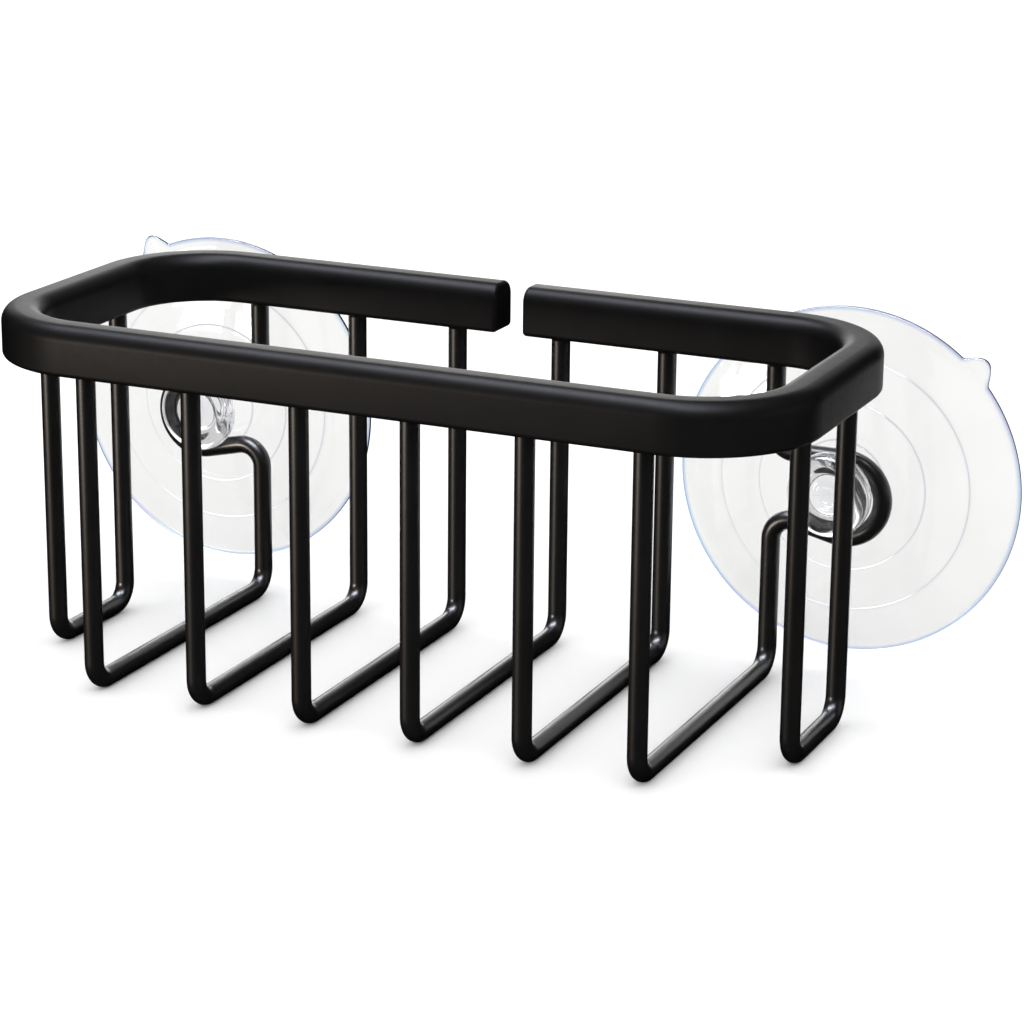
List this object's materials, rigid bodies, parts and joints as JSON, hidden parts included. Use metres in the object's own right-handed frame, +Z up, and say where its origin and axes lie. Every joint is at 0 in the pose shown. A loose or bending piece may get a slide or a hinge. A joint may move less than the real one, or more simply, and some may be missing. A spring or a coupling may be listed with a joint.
{
  "type": "suction shower caddy",
  "caption": "Open wire basket for shower bottles: round-topped rim bar, U-bent rods, and clear suction cups that turn in loops of the rear rods.",
  "frame": {"origin": "on the standing surface, under the centre of the whole object's box", "axes": "+X along the wall to the right as seen from the room, +Y towards the wall, +Z up"},
  "size_m": [0.2506, 0.0962, 0.0894],
  "materials": {
    "black_coat": "satin powder coat",
    "clear_pvc": "clear soft PVC"
  },
  "bodies": {
    "basket": {"rim_bar": "black_coat", "cross_rod_left_loop": "black_coat", "cross_rod_2": "black_coat", "cross_rod_3": "black_coat", "cross_rod_4": "black_coat", "cross_rod_5": "black_coat", "cross_rod_right_loop": "black_coat", "end_rod_left": "black_coat", "end_rod_right": "black_coat"},
    "cup_left": {"suction_cup_left": "clear_pvc"},
    "cup_right": {"suction_cup_right": "clear_pvc"}
  },
  "joints": [
    {"name": "cup_left_turn", "type": "hinge", "parent": "basket", "child": "cup_left", "pos_m": [-0.0836, 0.03855, 0.0477], "axis": [0, 1, 0], "continuous": true},
    {"name": "cup_right_turn", "type": "hinge", "parent": "basket", "child": "cup_right", "pos_m": [0.0836, 0.03855, 0.0477], "axis": [0, 1, 0], "continuous": true}
  ]
}
